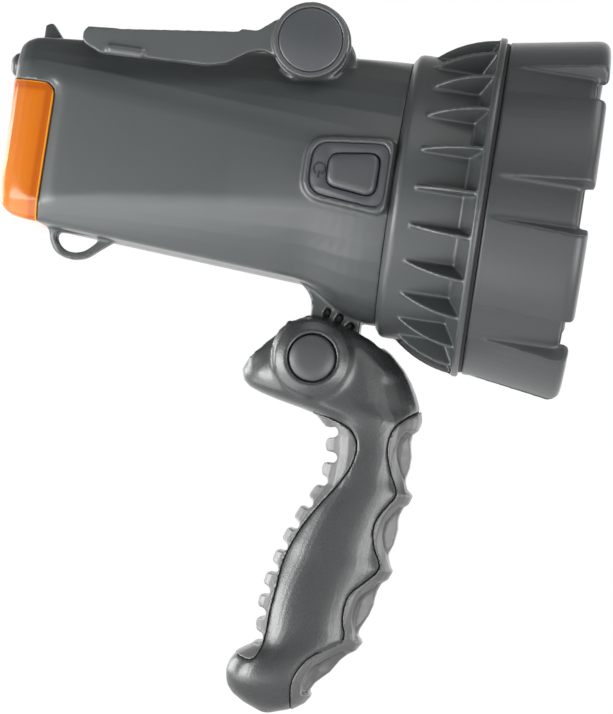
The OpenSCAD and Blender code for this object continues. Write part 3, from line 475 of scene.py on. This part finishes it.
def fillBeak(piece):  # the two cheeks beside the lug's slot reach out to the beak's upper line
    start, full, still, end = beak["turn"]
    inner, outer = beak["measured"]
    blend = beak["blend"] * mm
    reach = dict.fromkeys(range(start, end + 1), 0)
    polar = []
    for vertex in piece.data.vertices:
        aside, above = vertex.co.x - pivot.x, vertex.co.z - pivot.z
        turn = math.degrees(math.atan2(above, aside)) % 360
        away = math.hypot(aside, above)
        if round(turn) in reach and away < beak["reach"] * mm:
            polar.append((vertex, turn, away))
            if inner * mm < abs(vertex.co.y) < outer * mm:
                reach[round(turn)] = max(reach[round(turn)], away)
    for vertex, turn, away in polar:
        steps = range(round(turn) - beak["spread"], round(turn) + beak["spread"] + 1)
        near = [reach[step] for step in steps if reach.get(step)]
        if not near:
            continue
        now = sum(near) / len(near)
        gap = reachOfCrown(math.radians(turn)) - now
        side = abs(vertex.co.y) / mm
        share = rise(side, beak["inner"], beak["sideFade"])
        share *= fall(side, beak["outer"], beak["sideFade"])
        share *= rise(turn, start, full - start) * fall(turn, end, end - still)
        share *= rise(away, now - blend, blend)
        if gap > 0 and share > 0:
            grow = (away + gap * share) / away
            vertex.co.x = pivot.x + (vertex.co.x - pivot.x) * grow
            vertex.co.z = pivot.z + (vertex.co.z - pivot.z) * grow
    reskin(piece, beak["voxel"] * mm, beak["rounds"])


hubRing = {"face": 20.4, "start": 8.8, "end": 15, "slope": 0.44}  # mm


def slopeRing(piece):  # the face of the hub's ring falls away outward from the button
    for vertex in piece.data.vertices:
        away = math.hypot(vertex.co.x - pivot.x, vertex.co.z - pivot.z) / mm
        face = hubRing["face"] - hubRing["slope"] * max(0, away - hubRing["start"])
        if abs(vertex.co.y) > face * mm and away < hubRing["end"]:
            vertex.co.y = math.copysign(face * mm, vertex.co.y)


cheek = {  # mm
    "half": 15.6, "edge": 7, "taper": 0.36, "taperFrom": -23, "rounds": 40,  # thinner at the beak
    "foot": 46, "footFade": 6, "dip": 8, "dipFrom": -8, "dipOver": 10, "lift": 0.55,  # its lower end
    "inner": 1.2, "ring": 12.3, "ringFade": 1}  # left alone: the seam and the hub's ring


def flattenCheek(piece):  # the sides of the crown stand out to flat cheeks
    fillBeak(piece)
    slopeRing(piece)
    outward = [vertex.normal.y * vertex.co.y for vertex in piece.data.vertices]
    side = piece.vertex_groups.new(name="side")
    for vertex in piece.data.vertices:
        at = Vector((vertex.co.x, vertex.co.z))
        along = at.x / mm
        foot = cheek["foot"] - cheek["dip"] * fall(along, cheek["dipFrom"], cheek["dipOver"])
        foot += cheek["lift"] * max(0, along - cheek["dipFrom"])
        share = rise(at.y / mm, foot, cheek["footFade"])
        reach = abs(vertex.co.y)
        if share == 0 or reach < cheek["inner"] * mm or outward[vertex.index] <= 0:
            continue
        depth = 1 - min(1, awayFrom(crownLine, at) / (cheek["edge"] * mm))
        half = cheek["half"] * mm - cheek["taper"] * max(0, cheek["taperFrom"] * mm - at.x)
        wide = half * math.sqrt(1 - depth * depth)
        if reach < wide:
            vertex.co.y *= 1 + (wide / reach - 1) * share
        off = math.hypot(at.x - pivot.x, at.y - pivot.z) / mm
        side.add([vertex.index], share * rise(off, cheek["ring"], cheek["ringFade"]), "REPLACE")
    addSmooth(piece, cheek["rounds"], side.name)


# edges of the two rubbers from the side, in mm, from the crown down
fingerLine = [Vector(point) for point in (
    (26, 51), (20, 46.5), (16, 43), (14, 39), (13.5, 35), (14.2, 30.5), (16, 26), (18, 22), (19, 19),
    (15.5, 13), (13.6, 10), (13, 7), (13.1, 3.5), (14, 0), (17, -7), (13, -12.5), (10, -15.2),
    (8, -18), (7, -22), (7, -26), (8.5, -33), (4, -37), (-3, -42), (-5.8, -46), (-7, -50), (-6.5, -58))]
palmLine = [Vector(point) for point in (
    (-14, 42.9), (-8, 41.5), (-1, 39), (2.5, 34), (2, 27), (-2, 19), (-8, 10), (-13, 1), (-16.5, -9),
    (-17.5, -18), (-18.5, -28), (-19, -38), (-20.5, -43), (-23, -45), (-28, -44))]
handle = {"top": 44, "topFade": 4, "inner": 8, "innerFade": 2, "rubber": 1.2, "rubberFade": 2.5}  # mm


def handleSide(place):  # 1 on the open sides of the handle, 0 near its rubber and at the crown
    side = abs(place.y) / mm
    high = place.z / mm
    if high > handle["top"] or side < handle["inner"]:
        return 0
    at = Vector((place.x / mm, high))
    away = min(awayFrom(fingerLine, at), awayFrom(palmLine, at))
    weight = rise(away, handle["rubber"], handle["rubberFade"])
    weight *= fall(high, handle["top"], handle["topFade"])
    return weight * rise(side, handle["inner"], handle["innerFade"])


fingers = {  # mm; ridges are the heights between the fingers
    "ridges": (43.5, 17.8, -9.4, -35.4, -56.5), "ridgeHalf": 2, "ridgeFade": 1.2,
    "band": 3, "step": 0.6, "depth": 2.6, "inner": 5, "innerFade": 4,  # the side, behind its band
    "front": 1.2, "frontFrom": 1.6, "frontRise": 1.6, "frontTo": 11, "frontFall": 5, "frontStep": 2,
    "facing": 0.5}


# beside each finger the side drops behind a raised band, and the front a little
def sinkPockets(piece):
    facing = [vertex.normal.x for vertex in piece.data.vertices]
    for vertex in piece.data.vertices:
        at = Vector((vertex.co.x / mm, vertex.co.z / mm))
        side = abs(vertex.co.y) / mm
        ridge = min(abs(at.y - height) for height in fingers["ridges"])
        away = awayFrom(fingerLine, at)
        pull = rise(ridge, fingers["frontFrom"], fingers["frontRise"])
        pull *= fall(ridge, fingers["frontTo"], fingers["frontFall"])
        pull *= rise(away, fingers["band"], fingers["frontStep"])
        pull *= rise(facing[vertex.index], 0, fingers["facing"])
        vertex.co.x -= fingers["front"] * mm * pull
        if side > fingers["inner"]:
            drop = rise(away, fingers["band"], fingers["step"])
            drop *= rise(ridge, fingers["ridgeHalf"], fingers["ridgeFade"])
            drop *= rise(side, fingers["inner"], fingers["innerFade"])
            vertex.co.y *= 1 - fingers["depth"] * drop / side


housing = {"voxel": 0.6 * mm, "rounds": 2, "near": besideLens, "nearRounds": 60, "keep": 0.4}
grip = {"voxel": 0.55 * mm, "rounds": 3, "near": handleSide, "nearRounds": 80, "shape": flattenCheek,
        "sideRounds": 12}
moulded = {
    "housing_right": housing,
    "housing_left": housing,
    "front_bezel": {"voxel": 0.65 * mm, "rounds": 4, "keep": 0.7},
    "stand_arm": {"voxel": 0.5 * mm, "rounds": 4},
    "grip_right": grip,
    "grip_left": grip,
    "palm_insert": {"voxel": 0.4 * mm, "rounds": 3},
    "finger_insert": {"voxel": 0.45 * mm, "rounds": 3, "shape": sinkPockets},
    "amber_lens": {"voxel": 0.4 * mm, "rounds": 4, "near": lensFoot, "nearRounds": 300},
    "cooling_collar": {"voxel": 0.5 * mm, "rounds": 2, "keep": 0.38},
}
for name, look in moulded.items():
    mould(name, look)

small = {"edge": 0.35 * mm}
standCap = {"edge": 0.25 * mm, "flat": 0.45 * mm}
for name in ("switch_panel", "power_button", "release_button", "pivot_cap", "rear_button", "lens_ring"):
    dress(name, small)
for name in ("stand_cap_right", "stand_cap_left"):
    dress(name, standCap)
for name in ("front_lens", "lamp_leds"):  # cleaned of sliver faces only
    piece = copyOf(name)
    editAll(piece)
    bpy.ops.mesh.dissolve_degenerate(threshold=weld["sliver"])
    smoothByAngle(piece, smoothUnder["small"])
    settle(piece, name)
print("pieces dressed")


# bulb: hollow capsule with a coiled filament on two leads
bulbLow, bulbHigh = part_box("bulb_glass")
bulbCentre = (Vector(bulbLow) + Vector(bulbHigh)) / 2
bulbLength = bulbHigh[0] - bulbLow[0]
bulbRadius = (bulbHigh[2] - bulbLow[2]) / 2
capsule = {"wall": 0.45 * mm, "steps": 40,
           "profile": ((0, 0.74), (0.12, 0.86), (0.26, 0.97), (0.4, 1), (0.66, 1), (0.78, 0.94),
                       (0.88, 0.78), (0.95, 0.5), (0.985, 0.24), (1, 0.001))}  # of length, of radius
coil = {"radius": 0.75 * mm, "wire": 0.13 * mm, "wireSides": 6, "turns": 7, "turnSteps": 14,
        "pitch": 0.5 * mm, "at": 0.52, "lead": 0.5, "leadWire": 1.5}  # at, lead: shares of the bulb
discSides = 8


def addDisc(radius, place, turn=(0, 0, 0)):  # a small round face, open for editing
    clearSelection()
    bpy.ops.mesh.primitive_circle_add(vertices=discSides, radius=radius, fill_type="NGON",
                                      location=place, rotation=turn)
    bpy.ops.object.transform_apply()
    piece = bpy.context.active_object
    editAll(piece)
    return piece


def turnProfile(name, points, centre, steps):  # a line drawn point by point, then spun about the beam
    clearSelection()
    bpy.ops.mesh.primitive_plane_add(size=mm, location=(points[0][0], 0, centre[2] + points[0][1]))
    piece = bpy.context.active_object
    piece.name = name
    bpy.ops.object.transform_apply()
    bpy.ops.object.mode_set(mode="EDIT")
    bpy.ops.mesh.select_all(action="SELECT")
    bpy.ops.mesh.merge(type="CENTER")
    for (x0, r0), (x1, r1) in zip(points, points[1:]):
        bpy.ops.mesh.extrude_vertices_move(TRANSFORM_OT_translate={"value": (x1 - x0, 0, r1 - r0)})
    bpy.ops.mesh.select_all(action="SELECT")
    bpy.ops.mesh.spin(steps=steps, angle=2 * math.pi, center=centre, axis=(1, 0, 0))
    bpy.ops.mesh.select_all(action="SELECT")
    bpy.ops.mesh.remove_doubles(threshold=weld["spun"])
    bpy.ops.mesh.normals_make_consistent(inside=False)
    bpy.ops.object.mode_set(mode="OBJECT")
    return piece


def makeCapsule(look):
    points = [(bulbLow[0] + share * bulbLength, wide * bulbRadius) for share, wide in look["profile"]]
    piece = turnProfile("bulbCapsule", points, (0, 0, bulbCentre.z), look["steps"])
    shell = piece.modifiers.new("wall", "SOLIDIFY")
    shell.thickness = look["wall"]
    shell.offset = -1
    applyModifiers(piece)
    piece.data.materials.append(finishOf["bulb_glass"])
    smoothByAngle(piece, smoothUnder["moulded"])
    settle(piece, "bulb_glass")


def makeFilament(look):
    clearSelection()
    span = look["turns"] * look["pitch"]
    bpy.ops.mesh.primitive_circle_add(vertices=look["wireSides"], radius=look["wire"],
                                      location=(look["radius"], 0, -span / 2),
                                      rotation=(math.pi / 2, 0, 0))
    filament = bpy.context.active_object
    filament.name = "filament"
    bpy.ops.object.transform_apply()
    wind = filament.modifiers.new("wind", "SCREW")
    wind.angle = 2 * math.pi * look["turns"]
    wind.screw_offset = span
    wind.steps = wind.render_steps = look["turnSteps"] * look["turns"]
    applyModifiers(filament)
    for end in (-span / 2, span / 2):
        addDisc(look["wire"] * look["leadWire"], (look["radius"], 0, end), (0, math.pi / 2, 0))
        bpy.ops.mesh.extrude_region_move(
            TRANSFORM_OT_translate={"value": (-look["lead"] * bulbLength, 0, 0)})
        joinTo(filament)
    place = Matrix.Translation((bulbLow[0] + look["at"] * bulbLength, bulbCentre.y, bulbCentre.z))
    putAt(filament, place @ Matrix.Rotation(math.pi / 2, 4, "X"))
    editAll(filament)
    bpy.ops.mesh.fill_holes(sides=look["wireSides"])
    bpy.ops.mesh.select_all(action="SELECT")
    bpy.ops.mesh.normals_make_consistent(inside=False)
    bpy.ops.object.mode_set(mode="OBJECT")
    filament.data.materials.append(finishOf["bright_steel"])
    smoothByAngle(filament, smoothUnder["moulded"])
    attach(filament, bodyOf["bulb_glass"])


makeCapsule(capsule)
makeFilament(coil)
print("bulb made")


# generic power mark standing proud of the switch panel: a ring with a gap, and a bar in it
powerMark = {"panel": "switch_panel", "origin": (-13.5 * mm, -45 * mm, 124.3 * mm), "turn": -8.5,
             "along": -9.3 * mm, "face": -0.78 * mm, "up": -0.3 * mm, "ring": 1.95 * mm,
             "stroke": 0.33 * mm, "gap": 70, "steps": 40, "bar": 2.3 * mm,
             "barOver": 0.45}  # share of the bar past the ring


def makePowerMark(look):
    piece = addDisc(look["stroke"], (0, 0, -look["ring"]), (0, math.pi / 2, 0))
    piece.name = "powerMark"
    bpy.ops.transform.rotate(value=math.radians(-look["gap"] / 2), orient_axis="Y",
                             center_override=(0, 0, 0))
    bpy.ops.mesh.spin(steps=look["steps"], angle=math.radians(look["gap"] - 360), center=(0, 0, 0),
                      axis=(0, 1, 0))
    addDisc(look["stroke"], (0, 0, -look["ring"] - look["bar"] * look["barOver"]))
    bpy.ops.mesh.extrude_region_move(TRANSFORM_OT_translate={"value": (0, 0, look["bar"])})
    joinTo(piece)
    editAll(piece)
    bpy.ops.mesh.remove_doubles(threshold=weld["mark"])
    bpy.ops.mesh.normals_make_consistent(inside=False)
    bpy.ops.object.mode_set(mode="OBJECT")
    place = Matrix.Translation(look["origin"]) @ Matrix.Rotation(math.radians(look["turn"]), 4, "Z")
    putAt(piece, place @ Matrix.Translation((look["along"], look["face"], look["up"])))
    # the raised mark is coloured black: painted shade standing in for the dark shading of the embossed symbol
    piece.data.materials.append(finishOf["black_plastic"])
    smoothByAngle(piece, smoothUnder["mark"])
    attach(piece, bodyOf[look["panel"]])


makePowerMark(powerMark)
print("power mark made")


# camera at the photo's side, rolled with the lamp's nose down
camera = {"place": (0.037, -1.05, 0.037), "aim": (-0.0198, 0, 0.0617), "lens": 151, "roll": 8.7,
          "far": 50}


def makeCamera(look):
    data = bpy.data.cameras.new("camera")
    data.lens = look["lens"]
    data.clip_end = look["far"]
    holder = bpy.data.objects.new("camera", data)
    bpy.context.collection.objects.link(holder)
    place = Vector(look["place"])
    ahead = (Vector(look["aim"]) - place).normalized()
    turn = math.radians(look["roll"])
    upward = Vector((-math.sin(turn), 0, math.cos(turn)))
    right = ahead.cross(upward).normalized()
    upward = right.cross(ahead)
    holder.matrix_world = Matrix((
        (right.x, upward.x, -ahead.x, place.x), (right.y, upward.y, -ahead.y, place.y),
        (right.z, upward.z, -ahead.z, place.z), (0, 0, 0, 1)))
    bpy.context.scene.camera = holder


makeCamera(camera)
print("camera placed")


# white studio: bright walls behind, beside and below, a dim ceiling and a dim room behind the camera
studio = {
    "fill": 0.42, "room": 0.16, "ceiling": 0.3,
    "behind": (-0.35, 0.3), "beside": (0.5, 0.95), "below": (-0.5, -0.05), "above": (0.25, 0.8),
    "gap": 0.035, "floor": 12, "paper": 0.86, "paperRough": 0.9, "paperGlow": 1.06, "paperSeen": 0.93}
softboxes = (  # place, aim, size, watts
    ((-0.15, -0.08, -0.094), (-0.1, -0.04, 0.2), 0.42, 1.1),  # under the body
    ((-0.38, -0.28, -0.08), (-0.03, 0, -0.03), 0.34, 2.9),  # low, towards the palm side
    ((0.25, -0.35, -0.06), (0.05, 0, 0.13), 0.3, 1.3),  # low, towards the collar
    ((-0.1, -0.75, 0.95), (-0.02, 0, 0.1), 0.7, 1.6),  # over the camera
    ((0.45, -0.8, 0.4), (0.03, 0, 0.1), 0.4, 0.6),  # over the camera's right
    ((0.3, -0.2, 0.6), (0.08, 0, 0.15), 0.4, 1.4),  # over the nose
    ((-0.75, 0.36, 0.0), (-0.05, 0, 0.05), 0.6, 4.5),  # behind the rear light
    ((0.75, 0.25, 0.0), (0.0, 0, 0.05), 0.9, 3),  # ahead of the nose
    ((0.0, 0.9, 0.0), (0.0, 0, 0.07), 1.5, 4),  # far side
)
rays = ("Camera", "Glossy", "Transmission")


def mapped(tree, value, span, ends):
    node = tree.nodes.new("ShaderNodeMapRange")
    node.interpolation_type = "SMOOTHSTEP"
    tree.links.new(value, node.inputs["Value"])
    for label, number in zip(("From Min", "From Max", "To Min", "To Max"), (*span, *ends)):
        node.inputs[label].default_value = number
    return node.outputs["Result"]


def makeRoom(look):
    world = bpy.data.worlds.new("studio")
    world.use_nodes = True
    bpy.context.scene.world = world
    tree = world.node_tree
    background = tree.nodes["Background"]
    background.inputs["Color"].default_value = (1, 1, 1, 1)
    split = tree.nodes.new("ShaderNodeSeparateXYZ")
    tree.links.new(tree.nodes.new("ShaderNodeTexCoord").outputs["Generated"], split.inputs[0])
    aside, ahead, above = split.outputs
    behind = mapped(tree, ahead, look["behind"], (look["room"], 1))
    beside = mapped(tree, addMath(tree, "ABSOLUTE", aside), look["beside"], (0, 1))
    below = mapped(tree, above, look["below"], (1, 0))
    walls = addMath(tree, "MAXIMUM", behind, addMath(tree, "MAXIMUM", beside, below))
    walls = addMath(tree, "MULTIPLY", walls, mapped(tree, above, look["above"], (1, look["ceiling"])))
    path = tree.nodes.new("ShaderNodeLightPath")
    direct, glossy, through = (path.outputs["Is " + ray + " Ray"] for ray in rays)
    gain = addMath(tree, "MULTIPLY", addMath(tree, "MAXIMUM", glossy, through), 1 - look["fill"])
    level = addMath(tree, "MULTIPLY", walls, addMath(tree, "ADD", look["fill"], gain))
    tree.links.new(addMath(tree, "MAXIMUM", level, direct), background.inputs["Strength"])


def makeFloor(look):
    clearSelection()
    bpy.ops.mesh.primitive_plane_add(size=look["floor"], location=(0, 0, cadBox[0][2] - look["gap"]))
    floor = bpy.context.active_object
    floor.name = "floor"
    material, tree, surface = newMaterial("floorPaper")
    surface.inputs["Base Color"].default_value = (look["paper"],) * 3 + (1,)
    surface.inputs["Roughness"].default_value = look["paperRough"]
    glow = tree.nodes.new("ShaderNodeEmission")
    glow.inputs["Strength"].default_value = look["paperGlow"]
    mix = tree.nodes.new("ShaderNodeMixShader")
    path = tree.nodes.new("ShaderNodeLightPath")
    direct, glossy, through = (path.outputs["Is " + ray + " Ray"] for ray in rays)
    seen = addMath(tree, "MAXIMUM", addMath(tree, "MAXIMUM", direct, glossy), through)
    tree.links.new(addMath(tree, "MULTIPLY", seen, look["paperSeen"]), mix.inputs["Fac"])
    tree.links.new(surface.outputs[0], mix.inputs[1])
    tree.links.new(glow.outputs[0], mix.inputs[2])
    tree.links.new(mix.outputs[0], tree.nodes["Material Output"].inputs["Surface"])
    floor.data.materials.append(material)


def hangSoftbox(place, aim, size, watts):
    data = bpy.data.lights.new("softbox", "AREA")
    data.shape = "DISK"
    data.size = size
    data.energy = watts
    lamp = bpy.data.objects.new("softbox", data)
    bpy.context.collection.objects.link(lamp)
    lamp.visible_camera = False
    lamp.location = place
    lamp.rotation_euler = (Vector(aim) - Vector(place)).to_track_quat("-Z", "Y").to_euler()


makeRoom(studio)
makeFloor(studio)
for softbox in softboxes:
    hangSoftbox(*softbox)
bpy.context.scene.view_settings.view_transform = "Standard"
bpy.context.view_layer.update()
print("scene ready")
